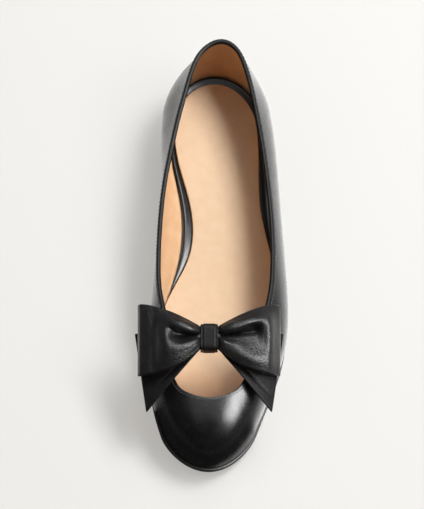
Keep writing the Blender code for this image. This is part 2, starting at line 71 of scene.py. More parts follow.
# Upper
UPPER_WALL = 0.0013
STRAP_WIDTH = 0.0100
STRAP_FORWARD = 0.0053  # that the strap's middle lies nearer the toe than its ends do
STRAP_CROWN = 0.0080  # that it stands higher than they do
VAMP_SLOPE = 0.27  # rise of the vamp's ridge towards the ankle, for each unit along
VAMP_X = -0.0046  # the vamp's ridge and the bow's middle, from the shoe's straight axis

# Binding round the collar
BINDING_THICKNESS = 0.0004

# Insole and sock
INSOLE_THICKNESS = 0.0028
SOCK_THICKNESS = 0.0018
RAND_WIDTH = 0.0060  # widest border of the insole that the sock leaves bare

# Bow
BOW_LEATHER = 0.0014
BOW_GATHER = 0.0112  # height of the loops and tails where the knot holds them
LOOP_REACH = 0.0400
LOOP_RISE = 0.0204  # of the outer fold above the knot's middle, towards the ankle
LOOP_DROP = 0.0197  # and below it, towards the toe
LOOP_PUFF = 0.0066
LOOP_DROOP = 0.0098
TAIL_TOP_REACH = 0.0413
TAIL_TIP_REACH = 0.0350
TAIL_TIP_DROP = 0.0402  # from the knot's middle to the tail's point, along the vamp
TAIL_TOP_RISE = 0.0050
TAIL_DROOP = 0.0128
KNOT_WIDTH = 0.0097
KNOT_LEATHER = 0.0012

GAP = 0.0003  # between pieces that touch
KNOT_SLACK = 0.0005  # extra room for the curve of the strap inside the knot

STRAP_REAR_TURN = 112.5  # where the strap leaves the upper's side, in degrees round the shoe
STRAP_FRONT_TURN = 127.5

Outline = namedtuple("Outline", "at outer inner outer_rand inner_rand")
OUTLINE = [
    # at is a share of the sole's length from the heel, outer and inner are half widths as shares
    # of the ball's width, and the rands are the bare borders as shares of the widest one.
    Outline(0.00, 0.360, 0.360, 0.90, 0.90),
    Outline(0.08, 0.368, 0.365, 0.74, 0.66),
    Outline(0.16, 0.391, 0.372, 0.62, 0.44),
    Outline(0.25, 0.412, 0.346, 0.84, 0.50),
    Outline(0.35, 0.426, 0.291, 0.88, 0.79),
    Outline(0.45, 0.453, 0.300, 0.33, 0.83),
    Outline(0.55, 0.501, 0.378, 0.06, 0.13),
    Outline(0.62, 0.535, 0.434, 0.05, 0.05),
    Outline(0.70, 0.539, 0.457, 0.05, 0.05),
    Outline(0.78, 0.485, 0.440, 0.05, 0.05),
    Outline(0.86, 0.398, 0.393, 0.05, 0.05),
    Outline(0.93, 0.320, 0.329, 0.05, 0.05),
    Outline(1.00, 0.268, 0.276, 0.05, 0.05),
]

# The upper's sections. Each has its turn round the shoe in degrees, 0 at the heel's back and 180 at
# the toe, then the free edge's place: back, out and up, as shares of the length, of the ball's
# width and of the back height. Last are degrees from upright: outwards at the sole, and inwards at
# the free edge.
HEEL_SECTION = (0.0, 0.014, 0.031, 1.000, 12, 10)
TOE_SECTION = (180.0, 0.884, -0.061, 0.645, 8, 73)
SIDE_SECTIONS = [
    # the turn, the outer side's five numbers and the inner side's
    (16.3, (0.030, 0.143, 0.984, 15, 11), (0.030, 0.095, 0.984, 15, 11)),
    (23.1, (0.050, 0.186, 0.972, 17, 14), (0.050, 0.150, 0.972, 17, 14)),
    (32.9, (0.103, 0.243, 0.945, 20, 20), (0.103, 0.216, 0.945, 21, 20)),
    (40.5, (0.148, 0.276, 0.916, 23, 24), (0.150, 0.258, 0.916, 25, 22)),
    (47.2, (0.188, 0.302, 0.884, 25, 27), (0.190, 0.294, 0.882, 29, 22)),
    (60.0, (0.276, 0.352, 0.816, 27, 28), (0.280, 0.361, 0.812, 36, 18)),
    (72.5, (0.368, 0.391, 0.748, 27, 28), (0.366, 0.413, 0.742, 40, 12)),
    (84.3, (0.460, 0.416, 0.697, 25, 28), (0.456, 0.441, 0.692, 40, 9)),
    (95.7, (0.552, 0.420, 0.666, 22, 30), (0.550, 0.450, 0.661, 30, 13)),
    (103.9, (0.612, 0.404, 0.655, 19, 34), (0.612, 0.438, 0.653, 20, 20)),
    (112.5, (0.676, 0.357, 0.655, 15, 42), (0.672, 0.402, 0.658, 15, 36)),
    (120.0, (0.732, 0.310, 0.652, 12, 49), (0.728, 0.385, 0.647, 12, 44)),
    (127.5, (0.790, 0.262, 0.636, 11, 55), (0.788, 0.368, 0.622, 11, 51)),
    (136.0, (0.837, 0.205, 0.620, 10, 60), (0.837, 0.323, 0.612, 10, 59)),
    (149.3, (0.866, 0.123, 0.630, 9, 67), (0.866, 0.245, 0.627, 9, 67)),
]

HEEL_Y = LENGTH / 2
SOLE_REAR_Y = HEEL_Y - HEEL_OVERHANG
SEAM_LENGTH = LENGTH - HEEL_OVERHANG - OUTSOLE_MARGIN


def closed_spline(knots, rows, period):
    """A smooth closed curve through the rows, as a function of the knot value."""
    knots, rows = np.asarray(knots, float), np.asarray(rows, float)
    steps = np.diff(np.append(knots, knots[0] + period))
    slopes = (np.roll(rows, -1, axis=0) - rows) / steps[:, None]
    count = len(knots)
    system = np.zeros((count, count))
    for k in range(count):
        system[k, k - 1] = steps[k - 1]
        system[k, k] = 2 * (steps[k - 1] + steps[k])
        system[k, (k + 1) % count] = steps[k]
    bends = np.linalg.solve(system, 6 * (slopes - np.roll(slopes, 1, axis=0)))

    def at(value):
        value = (value - knots[0]) % period + knots[0]
        k = int(np.searchsorted(knots, value, side="right")) - 1
        after = (k + 1) % count
        step = steps[k]
        b = (value - knots[k]) / step
        a = 1 - b
        curve = (a**3 - a) * bends[k] + (b**3 - b) * bends[after]
        return a * rows[k] + b * rows[after] + curve * step**2 / 6

    return at


def turn_of(at):
    """Degrees round the shoe of a share of the sole's length, on the outer side."""
    return math.degrees(math.acos(1 - 2 * at))


def share_of(turn):
    """The share of the sole's length at a turn, whichever side it is on."""
    return (1 - math.cos(math.radians(turn))) / 2


def outline_table():
    inside = OUTLINE[1:-1]
    heel, toe = OUTLINE[0], OUTLINE[-1]
    knots = [0.0, *(turn_of(r.at) for r in inside), 180.0]
    knots += [360 - turn_of(r.at) for r in reversed(inside)]
    rows = [(heel.outer, heel.outer_rand), *((r.outer, r.outer_rand) for r in inside)]
    rows += [(toe.outer, toe.outer_rand)]
    rows += [(r.inner, r.inner_rand) for r in reversed(inside)]
    return closed_spline(knots, rows, 360.0)


def section_table():
    outer = [(turn, *side) for turn, side, _ in SIDE_SECTIONS]
    inner = [(360 - turn, s[0], -s[1], *s[2:]) for turn, _, s in reversed(SIDE_SECTIONS)]
    rows = [HEEL_SECTION, *outer, TOE_SECTION, *inner]
    return closed_spline([r[0] for r in rows], [r[1:] for r in rows], 360.0)


outline_at = outline_table()
section_at = section_table()


def unit(vectors):
    """The vector, or each of the array's, made one unit long."""
    return vectors / np.linalg.norm(vectors, axis=-1, keepdims=True)


def ease(value):
    value = min(1.0, max(0.0, value))
    return value * value * (3 - 2 * value)


def end_curve(distance, length):
    """The share of its full width that the outline has at this distance from an end."""
    if distance >= length:
        return 1.0
    return math.sqrt(max(0.0, 1 - (1 - distance / length) ** 2))


def sole_bottom(y):
    """Height of the outsole's underside: on the heel, down the arch, flat, and up to the toe."""
    at = (SOLE_REAR_Y - y) / SEAM_LENGTH
    heel_end = HEEL_LENGTH / SEAM_LENGTH
    if at <= FLAT_FROM:
        return HEEL_HEIGHT * (1 - ease((at - heel_end) / (FLAT_FROM - heel_end)))
    return TOE_SPRING * max(0.0, (at - FLAT_TO) / (1 - FLAT_TO)) ** 2


def seam_point(turn):
    """Plan point of the seam where the upper meets the sole."""
    at = share_of(turn)
    half = outline_at(turn)[0] * BALL_WIDTH
    half *= end_curve(at * SEAM_LENGTH, HEEL_ROUND)
    half *= end_curve((1 - at) * SEAM_LENGTH, TOE_ROUND)
    centre = AXIS_X - TOE_SWING * ease((at - 0.42) / 0.44) - SEAT_SWING * (1 - ease(at / 0.35))
    side = 1 if turn % 360 < 180 else -1
    return np.array([centre + side * half, SOLE_REAR_Y - at * SEAM_LENGTH])


def plan_normal(curve, turn):
    """Outward unit normal, seen from above, of a closed plan curve at a turn."""
    step = 0.4
    run = curve(turn + step)[:2] - curve(turn - step)[:2]
    return unit(np.array([-run[1], run[0]]))


def seam_offset(turn, inset):
    """The seam's plan point moved inwards by a distance."""
    return seam_point(turn) - inset * plan_normal(seam_point, turn)


def edge_point(turn):
    """The upper's free edge: the collar, the strap's root and the cut-out's front."""
    back, out, up = section_at(turn)[:3]
    x, y = AXIS_X + out * BALL_WIDTH, HEEL_Y - back * LENGTH
    return np.array([x, y, up * BACK_HEIGHT])


def strap_middle():
    """The strap's middle under the bow: its place along the shoe and its height."""
    turn = (STRAP_REAR_TURN + STRAP_FRONT_TURN) / 2
    y, z = (edge_point(turn)[1:] + edge_point(-turn)[1:]) / 2
    return y - STRAP_FORWARD, z + STRAP_CROWN


def wall_handles(turn):
    """The four control points of the upper's section, from the seam to the free edge."""
    flare, lean = np.radians(section_at(turn)[3:])
    x, y = seam_point(turn)
    foot = np.array([x, y, sole_bottom(y) + OUTSOLE_THICKNESS + GAP])
    top = edge_point(turn)
    out = np.append(plan_normal(seam_point, turn), 0)
    inward = -np.append(plan_normal(edge_point, turn), 0)
    up = np.array([0, 0, 1.0])
    rise, chord = top[2] - foot[2], np.linalg.norm(top - foot)
    fullness = 0.42 + 0.12 * ease((math.degrees(lean) - 30) / 40)
    start = foot + fullness * rise * (math.sin(flare) * out + math.cos(flare) * up)
    end_way = math.sin(lean) * inward + math.cos(lean) * up
    return foot, start, top - 0.42 * chord * end_way, top, end_way


def bezier(points, t):
    a, b, c, d = points
    s = 1 - t
    return s**3 * a + 3 * s * s * t * b + 3 * s * t * t * c + t**3 * d


def wall_point(turn, rise):
    """The upper's outer face, at a turn round the shoe and a share of the way up its wall."""
    return bezier(wall_handles(turn)[:4], rise)


def strap_point(turn, row, across):
    """The strap's outer face between the two sides at a turn.

    row runs from its ankle side to its toe side, and across from the inner side to the outer.
    """
    inner, outer = wall_handles(360 - turn), wall_handles(turn)
    a, b = inner[3], outer[3]
    forward = (row - 0.5) * STRAP_WIDTH
    middle_y, middle_z = strap_middle()
    middle_y -= forward
    middle_z -= VAMP_SLOPE * forward
    rise = (8 * middle_z - 4 * (a[2] + b[2])) / (3 * (inner[4][2] + outer[4][2]))
    point = bezier((a, a + rise * inner[4], b + rise * outer[4], b), across)
    reach = 1 - abs(2 * across - 1) ** 3
    ends_y = a[1] + (b[1] - a[1]) * across
    point[1] = ends_y + (middle_y - (a[1] + b[1]) / 2) * reach
    return point


def wall_at_seam(turn):
    """The upper's thickness measured level, where its wall flares out from the sole."""
    return UPPER_WALL / math.cos(math.radians(section_at(turn)[3]))


def bow_point(across, along, off):
    """A point of the bow: across to the outer side, along the vamp to the toe, off its face."""
    steep = math.hypot(1, VAMP_SLOPE)
    forward = np.array([0, -1, -VAMP_SLOPE]) / steep
    normal = np.array([0, -VAMP_SLOPE, 1]) / steep
    middle = np.array([AXIS_X + VAMP_X, *strap_middle()])
    return middle + np.array([across, 0, 0]) + along * forward + off * normal


BINDING_SKIN = GAP + BINDING_THICKNESS
TAILS_OFF = BINDING_SKIN + GAP + BOW_LEATHER / 2
LOOP_BACK_OFF = TAILS_OFF + GAP + BOW_LEATHER
LOOP_FRONT_OFF = LOOP_BACK_OFF + GAP + BOW_LEATHER


def loop_share(reach):
    """How far out from the knot's side to the outer fold, from 0 to 1."""
    side = KNOT_WIDTH / 2 + GAP
    return max(0.0, reach - side) / (LOOP_REACH - side)


def loop_along(reach, level):
    """Place along the vamp, where level runs from -1 at the loop's ankle edge to 1 at its toe edge."""
    left = 1 - loop_share(reach)
    half = BOW_GATHER / 2
    rise = half + (LOOP_RISE - half) * (1 - left**1.35)
    drop = half + (LOOP_DROP - half) * (1 - left**2.6)
    return -rise + (rise + drop) * (level + 1) / 2


def droop(reach, most):
    """How far a loop or tail has sunk towards the foot's sides at a distance out from the knot."""
    return most * (reach / LOOP_REACH) ** 2.5


def tail_edges(reach):
    """The tail's ankle edge and toe edge at a distance out from the knot: (across, along)."""
    half = BOW_GATHER / 2
    knot = KNOT_WIDTH / 2
    if reach <= knot:
        return (reach, -half), (reach, half)
    share = (reach - knot) / (TAIL_TOP_REACH - knot)
    top = (reach, -half + (half - TAIL_TOP_RISE) * share)
    tip = (knot + (TAIL_TIP_REACH - knot) * share, half + (TAIL_TIP_DROP - half) * share)
    return top, tip


# Steps of the dressed meshes
COLUMNS = 288
TURNS = [360 * k / COLUMNS for k in range(COLUMNS)]
STRAP_ACROSS = 48
RIM_STEPS = 6
SLAB_ACROSS = 12
HEEL_BACK_STEPS = 130
BREAST_STEPS = 28
LOOP_LEVELS_DRAWN = 61
LOOP_BACK_STEPS = 26
TAIL_STEPS_OUT = 34
TAIL_STEPS_DOWN = 58
KNOT_STEPS_ROUND = 72
KNOT_STEPS_ACROSS = 31

# Wall rows from the seam to the free edge, closer together at both ends
WALL_RISES = [0, 0.012, 0.03, 0.055, 0.09, 0.13, 0.18, 0.23, 0.28, 0.34, 0.4, 0.46, 0.52, 0.58]
WALL_RISES += [0.64, 0.7, 0.75, 0.8, 0.845, 0.885, 0.92, 0.945, 0.963, 0.978, 0.99, 1.0]

# Leather, lining and stitches of the upper
LEATHER = 0.0005  # the upper's own leather, folded over its free edges
LINING_FROM = 0.0009  # below the outer face
LINING = 0.0004
RIM_RADIUS = 0.00072
FLAP = 0.0030  # of the leather turned in at the cut-out
FEATHER_TUCK = 0.0006  # that the wall curls in at the sole
TUCK_TOP = 0.055  # share of the wall's rise where that curl ends
STITCH_RADIUS = 0.00022
STITCH_SHARE = 0.74  # of a stitch row's pitch that each stitch covers
STITCH_PITCH = 0.0019
BINDING_PITCH = STITCH_PITCH * 1.25
CUTOUT_PITCH = STITCH_PITCH * 0.9
BINDING_PULL = 0.00006  # that a stitch draws the binding in

# Insole and bow, and where the bow hides the collar's stitches
BOW_HIDES_HALF = 0.030
BOW_HIDES_FROM = HEEL_Y - 0.165
FULL_DISH_WIDTH = 0.03  # of the sock, where its middle dips all the way
INSOLE_LIFT = 0.0020  # of the insole's border where it is widest
NARROW_RAND = 0.10  # share of the widest border that it keeps under the wall
BOW_SHEET = BOW_LEATHER * 0.86  # a little thinner than the solids, which keeps the layers apart
RIDGE_LEAN = 0.0016  # that a loop's upper ridge leans over the pocket below it
GATHER_DEPTH = 0.0002  # of the fine folds that fan out from under the knot
TAIL_TIP_LIFT = 0.0022  # that the tails curl away from the vamp
TAIL_RIDGE = 0.0010  # height of the fold along a tail's toe edge, and depth of the groove beside it
KNOT_FOOT = 0.97  # share of the knot's half width where the band's sides turn in


def grid_faces(rows, columns, closed=False, caps=False, start=0):
    """Quads between closed lines of points, which may end in two caps or join up all round."""
    found = []
    for r in range(rows if closed else rows - 1):
        a, b = start + r * columns, start + (r + 1) % rows * columns
        for k in range(columns):
            k2 = (k + 1) % columns
            found.append((a + k, a + k2, b + k2, b + k))
    if caps:
        last = start + (rows - 1) * columns
        found += [tuple(range(first, first + columns)) for first in (start, last)]
    return found


def make_mesh(name, points, faces):
    mesh = bpy.data.meshes.new(name)
    mesh.from_pydata([tuple(p) for p in points], [], [tuple(f) for f in faces])
    work = bmesh.new()
    work.from_mesh(mesh)
    bmesh.ops.recalc_face_normals(work, faces=work.faces)
    work.to_mesh(mesh)
    work.free()
    return mesh


def linked(name, data):
    """A new object in the scene."""
    obj = bpy.data.objects.new(name, data)
    bpy.context.scene.collection.objects.link(obj)
    return obj


def add_piece(name, mesh, material, nodes, sharp):
    """A piece of the shoe, smooth but for its sharp edges, in the place of the nodes named."""
    obj = linked(name, mesh)
    mesh.materials.append(material)
    mesh.shade_smooth()
    mesh.set_sharp_from_angle(angle=math.radians(sharp))
    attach(obj, "root")
    if nodes:
        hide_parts(*nodes)
    return obj


def thicken(obj, thickness):
    shell = obj.modifiers.new("thickness", "SOLIDIFY")
    shell.thickness = thickness
    shell.offset = -1
    shell.use_even_offset = True


class Nodes:
    """A material's node tree, with a call for each kind of node that is used."""

    def __init__(self, name):
        self.material = bpy.data.materials.new(name)
        self.material.use_nodes = True
        self.tree = self.material.node_tree
        self.shader = self.tree.nodes["Principled BSDF"]
        self.place = self.tree.nodes.new("ShaderNodeTexCoord").outputs["Object"]

    def fill(self, node, values):
        """Sets each of the node's inputs named, to a constant or to another node's output."""
        for name, value in values.items():
            if isinstance(value, bpy.types.NodeSocket):
                self.tree.links.new(value, node.inputs[name])
            else:
                node.inputs[name].default_value = value

    def stretched(self, scale):
        node = self.tree.nodes.new("ShaderNodeMapping")
        self.fill(node, {"Scale": scale, "Vector": self.place})
        return node.outputs["Vector"]

    def noise(self, scale, detail=3.0, vector=None):
        node = self.tree.nodes.new("ShaderNodeTexNoise")
        vector = vector or self.place
        self.fill(node, {"Scale": scale, "Detail": detail, "Roughness": 0.5, "Vector": vector})
        return node.outputs["Fac"]

    def cells(self, scale):
        """Distance from the edges of a field of cells."""
        node = self.tree.nodes.new("ShaderNodeTexVoronoi")
        node.feature = "DISTANCE_TO_EDGE"
        self.fill(node, {"Scale": scale, "Randomness": 1.0, "Vector": self.place})
        return node.outputs["Distance"]

    def spread(self, value, low, high, to_low, to_high, smooth=False):
        node = self.tree.nodes.new("ShaderNodeMapRange")
        if smooth:
            node.interpolation_type = "SMOOTHSTEP"
        limits = {"From Min": low, "From Max": high, "To Min": to_low, "To Max": to_high}
        self.fill(node, {"Value": value, **limits})
        return node.outputs["Result"]

    def blend(self, share, first, second):
        node = self.tree.nodes.new("ShaderNodeMix")
        node.data_type = "RGBA"
        self.fill(node, {"A": (*first, 1), "B": (*second, 1), "Factor": share})
        return node.outputs["Result"]

    def bump(self, height, depth, below=None):
        node = self.tree.nodes.new("ShaderNodeBump")
        self.fill(node, {"Strength": 1.0, "Distance": depth, "Height": height})
        if below:
            self.fill(node, {"Normal": below})
        return node.outputs["Normal"]


def leather(name, colour, worn, rough, pebble, depth, grain, sway, shine):
    """Grained leather: pebbles with fine lines between them over long soft undulations.

    colour turns to worn in patches. pebble is a pebble's width, depth the lines' depth, grain the
    fine grain's and sway the undulations', and shine is how strongly the leather reflects.
    """
    nodes = Nodes(name)
    cells = nodes.spread(nodes.cells(1 / pebble), 0.0, 0.22, 0.0, 1.0, smooth=True)
    fine = nodes.noise(2.4 / pebble, detail=2.0)
    wide = nodes.noise(90.0, detail=1.5)
    tone = nodes.noise(160.0)
    normal = nodes.bump(cells, depth, below=nodes.bump(wide, sway))
    nodes.fill(nodes.shader, {
        "Normal": nodes.bump(fine, grain, below=normal),
        "Base Color": nodes.blend(nodes.spread(tone, 0.35, 0.7, 0, 1), colour, worn),
        "Roughness": nodes.spread(tone, 0.3, 0.7, rough - 0.025, rough + 0.03),
        "Metallic": 0.0,
        "Specular IOR Level": shine,
    })
    return nodes.material


def thread(name, colour, rough):
    """Twisted thread, with fine slanting strands."""
    nodes = Nodes(name)
    strands = nodes.noise(5200.0, detail=1.0, vector=nodes.stretched((1, 0.5, 1)))
    darker = tuple(c * 0.6 for c in colour)
    nodes.fill(nodes.shader, {
        "Normal": nodes.bump(strands, 0.00008),
        "Base Color": nodes.blend(strands, darker, colour),
        "Roughness": rough,
    })
    return nodes.material


def rubber(name, colour, rough):
    """Moulded rubber with a fine matte skin."""
    nodes = Nodes(name)
    scuffs = nodes.noise(70.0, detail=4.0)
    lighter = tuple(c * 1.6 for c in colour)
    nodes.fill(nodes.shader, {
        "Normal": nodes.bump(nodes.noise(2600.0), 0.00006),
        "Base Color": nodes.blend(nodes.spread(scuffs, 0.45, 0.8, 0, 1), colour, lighter),
        "Roughness": nodes.spread(scuffs, 0.3, 0.7, rough - 0.05, rough + 0.08),
    })
    return nodes.material


BLACK = (0.0045, 0.0043, 0.0048)
BLACK_WORN = (0.0064, 0.0061, 0.0066)
UPPER_LEATHER = leather(
    "upper_black", BLACK, BLACK_WORN, rough=0.26, pebble=0.00075,
    depth=0.00001, grain=0.00001, sway=0.00008, shine=0.25,
)
BOW_LEATHER_LOOK = leather(
    "bow_black", (0.009, 0.0087, 0.0093), (0.014, 0.0137, 0.014), rough=0.36, pebble=0.0021,
    depth=0.00004, grain=0.00026, sway=0.0002, shine=0.23,
)
TAIL_LOOK = leather(
    "tail_black", (0.008, 0.0078, 0.0083), (0.012, 0.0117, 0.012), rough=0.42, pebble=0.0020,
    depth=0.00003, grain=0.00022, sway=0.0002, shine=0.05,
)
BINDING_LOOK = leather(
    "binding_black", BLACK, BLACK_WORN, rough=0.42, pebble=0.0006,
    depth=0.00002, grain=0.00001, sway=0.0001, shine=0.12,
)
INSOLE_LOOK = leather(
    "insole_black", BLACK, BLACK_WORN, rough=0.30, pebble=0.0007,
    depth=0.000006, grain=0.000006, sway=0.0001, shine=0.27,
)
LINING_LOOK = leather(
    "lining_tan", (0.70, 0.43, 0.24), (0.74, 0.48, 0.28), rough=0.55, pebble=0.0006,
    depth=0.00002, grain=0.00001, sway=0.0002, shine=0.05,
)
SOCK_LOOK = leather(
    "sock_tan", (0.64, 0.465, 0.31), (0.67, 0.50, 0.345), rough=0.50, pebble=0.0006,
    depth=0.000015, grain=0.00001, sway=0.0001, shine=0.05,
)
THREAD_LOOK = thread("black_thread", (0.042, 0.042, 0.043), 0.45)
SOLE_LOOK = rubber("sole_black", (0.014, 0.014, 0.014), 0.50)
HEEL_LOOK = rubber("heel_black", (0.014, 0.014, 0.014), 0.42)


Crease = namedtuple("Crease", "turn rise to_turn to_rise width depth")
# Soft troughs of the upper, each from one place to another on its wall, a turn round the shoe and a
# share of the way up. Widths and depths are in metres.
CREASES = [
    Crease(107.0, 0.97, 118.0, 0.42, 0.0030, 0.00035),
    Crease(112.0, 0.93, 125.0, 0.50, 0.0022, 0.00022),
    Crease(253.0, 0.97, 242.0, 0.42, 0.0030, 0.00035),
    Crease(248.0, 0.93, 236.0, 0.50, 0.0022, 0.00022),
    Crease(30.0, 0.20, 62.0, 0.12, 0.0050, 0.00040),
    Crease(330.0, 0.20, 300.0, 0.14, 0.0050, 0.00040),
]


def crease_relief(points):
    """How far each of the wall's points sinks into the soft troughs."""
    sunk = np.zeros(len(points))
    for crease in CREASES:
        a = wall_point(crease.turn, crease.rise)
        b = wall_point(crease.to_turn, crease.to_rise)
        run = b - a
        share = np.clip((points - a) @ run / (run @ run), 0, 1)
        away = np.linalg.norm(points - (a + share[:, None] * run), axis=1)
        ends = np.sin(math.pi * share) ** 0.7
        sunk += crease.depth * ends * np.exp(-((away / crease.width) ** 2))
    return sunk


def upper_surface():
    """Points and faces of the upper's outer face, and the vertex numbers round its two openings."""
    handles = [wall_handles(turn)[:4] for turn in TURNS]
    points = [bezier(h, rise) for rise in WALL_RISES for h in handles]
    faces = grid_faces(len(WALL_RISES), COLUMNS)
    rear = round(STRAP_REAR_TURN / 360 * COLUMNS)
    front = round(STRAP_FRONT_TURN / 360 * COLUMNS)
    rim = (len(WALL_RISES) - 1) * COLUMNS
    lines = []
    for k in range(rear, front + 1):
        row = (k - rear) / (front - rear)
        line = [rim + COLUMNS - k]
        for q in range(1, STRAP_ACROSS):
            line.append(len(points))
            points.append(strap_point(TURNS[k], row, q / STRAP_ACROSS))
        lines.append([*line, rim + k])
    for ahead, behind in zip(lines[1:], lines):
        for q in range(STRAP_ACROSS):
            faces.append((behind[q], behind[q + 1], ahead[q + 1], ahead[q]))
    collar = [(rim + k % COLUMNS, rim - COLUMNS + k % COLUMNS) for k in range(rear, -rear - 1, -1)]
    collar += list(zip(lines[0][1:-1], lines[1][1:-1]))
    cutout = [(rim + k, rim - COLUMNS + k) for k in range(front, COLUMNS - front + 1)]
    cutout += list(zip(lines[-1][1:-1], lines[-2][1:-1]))
    return np.array(points), faces, collar, cutout


def outward_normals(mesh):
    """The mesh's vertex normals, turned to look away from the foot."""
    # the highest face is at the heel's back, so it has to look backwards
    highest = max(mesh.polygons, key=lambda face: face.center.z)
    if highest.normal.y < 0:
        mesh.flip_normals()
    return np.array([v.normal for v in mesh.vertices])


def edge_path(points, normals, pairs):
    """Round an opening: each point with the way out of the wall and the way off its edge."""
    found = []
    for k, (edge, inside) in enumerate(pairs):
        along = points[pairs[(k + 1) % len(pairs)][0]] - points[pairs[k - 1][0]]
        away = unit(np.cross(along, normals[edge]))
        if away @ (points[edge] - points[inside]) < 0:
            away = -away
        found.append((points[edge], normals[edge], away))
    return found


points, faces, collar, cutout = upper_surface()
wall_count = len(WALL_RISES) * COLUMNS
flat = make_mesh("upper_shape", points, faces)
normals = outward_normals(flat)
relief = np.zeros(len(points))
relief[:wall_count] = crease_relief(points[:wall_count])
for r, rise in enumerate(WALL_RISES):
    if rise < TUCK_TOP:
        relief[r * COLUMNS:(r + 1) * COLUMNS] += FEATHER_TUCK * (1 - rise / TUCK_TOP) ** 2
outer = points - relief[:, None] * normals
collar_edge = edge_path(outer, normals, collar)
cutout_edge = edge_path(outer, normals, cutout)


def upper_leather():
    """The black leather: the outer face, turned in over the cut-out's edge."""
    made, quads = list(outer), list(faces)
    before = [edge for edge, _ in cutout]
    angles = np.linspace(0, math.pi, RIM_STEPS + 1)[1:]
    section = [(RIM_RADIUS * math.sin(a), RIM_RADIUS * (math.cos(a) - 1)) for a in angles]
    section += [(-FLAP * share, -2 * RIM_RADIUS) for share in (0.2, 0.6, 1.0)]
    for off, out in section:
        after = list(range(len(made), len(made) + len(before)))
        made += [here + off * away + out * normal for here, normal, away in cutout_edge]
        for k in range(len(before)):
            k2 = (k + 1) % len(before)
            quads.append((before[k], before[k2], after[k2], after[k]))
        before = after
    mesh = make_mesh("upper_leather", made, quads)
    outward_normals(mesh)
    thicken(add_piece("upper_leather", mesh, UPPER_LEATHER, ["upper"], 60), LEATHER)


def upper_lining():
    """The tan lining behind the leather."""
    mesh = make_mesh("upper_lining", outer - LINING_FROM * normals, faces)
    outward_normals(mesh)
    thicken(add_piece("upper_lining", mesh, LINING_LOOK, [], 60), LINING)


def lengths_along(line):
    """How far along the line each of its points is."""
    return np.append(0, np.cumsum(np.linalg.norm(np.diff(line, axis=0), axis=1)))


def values_along(rows, lengths, places):
    """The rows that belong to points at these lengths, read off at other places along."""
    return np.column_stack([np.interp(places, lengths, column) for column in rows.T])


def even_path(path, spacing):
    """The same closed path in even steps, as arrays of points, normals and ways off the edge."""
    spots, outs, aways = (np.array(rows) for rows in zip(*path, path[0]))
    lengths = lengths_along(spots)
    places = np.linspace(0, lengths[-1], int(lengths[-1] / spacing), endpoint=False)
    return [values_along(rows, lengths, places) for rows in (spots, outs, aways)]


# The binding's section from its outer lower edge over the collar to its inner one: off the edge,
# and out of the wall, in metres.
BINDING_OUTSIDE = [
    (-0.0029, 0.00010), (-0.0027, 0.00036), (-0.0023, 0.00042), (-0.0020, 0.00030), (-0.0017, 0.00046),
    (-0.0010, 0.00058), (-0.0003, 0.00060), (0.0003, 0.00038), (0.0006, -0.00010), (0.0007, -0.00065),
    (0.0006, -0.00120), (0.0003, -0.00168), (-0.0003, -0.00190), (-0.0010, -0.00188),
    (-0.0020, -0.00180), (-0.0026, -0.00172), (-0.0028, -0.00145),
]
BINDING_INSIDE = [(-0.0028, -0.00134), (0.0001, -0.00134), (0.0001, 0.00004), (-0.0029, 0.00004)]


def collar_binding():
    """The strip folded over the collar, drawn in a little at each stitch."""
    spots, outs, aways = even_path(collar_edge, BINDING_PITCH / 4)
    section = BINDING_OUTSIDE + BINDING_INSIDE
    made = []
    for k, (here, out, away) in enumerate(zip(spots, outs, aways)):
        pull = BINDING_PULL * math.cos(math.pi * k / 2)
        for j, (b, n) in enumerate(section):
            swell = pull if 1 <= j <= 6 else 0.0  # the outer face alone gives way
            made.append(here + b * away + (n + swell) * out)
    quads = grid_faces(len(spots), len(section), closed=True)
    mesh = make_mesh("collar_binding", made, quads)
    add_piece("collar_binding", mesh, BINDING_LOOK, ["topline_binding"], 50)


def stitches_along(name, path, off, raised, pitch, keep=None):
    """A row of short stitches beside an opening's edge, each arched out of the leather and back."""
    spots, outs, aways = even_path(path, pitch)
    spots = spots + off * aways + raised * outs
    alongs = np.roll(spots, -1, axis=0) - np.roll(spots, 1, axis=0)
    half = pitch * STITCH_SHARE / 2
    shares = [-1.0, -0.85, -0.45, 0.0, 0.45, 0.85, 1.0]
    sides = 6
    made, quads = [], []
    for here, out, along in zip(spots, outs, alongs):
        if keep and not keep(here):
            continue
        out, along = unit(out), unit(along)
        across = np.cross(out, along)
        quads += grid_faces(len(shares), sides, caps=True, start=len(made))
        for share in shares:
            thick = STITCH_RADIUS * math.sqrt(max(0.06, 1 - share**4))
            middle = here + along * share * half + out * STITCH_RADIUS * (0.9 - 1.3 * share**4)
            for q in range(sides):
                angle = 2 * math.pi * q / sides
                made.append(middle + thick * (math.cos(angle) * across + math.sin(angle) * out))
    add_piece(name, make_mesh(name, made, quads), THREAD_LOOK, [], 80)


def ring(inset_at, height_at):
    """Points round the shoe at an inset from the seam, at the height that its place along gives."""
    found = []
    for turn in TURNS:
        x, y = seam_offset(turn, inset_at(turn))
        found.append((x, y, height_at(y)))
    return found


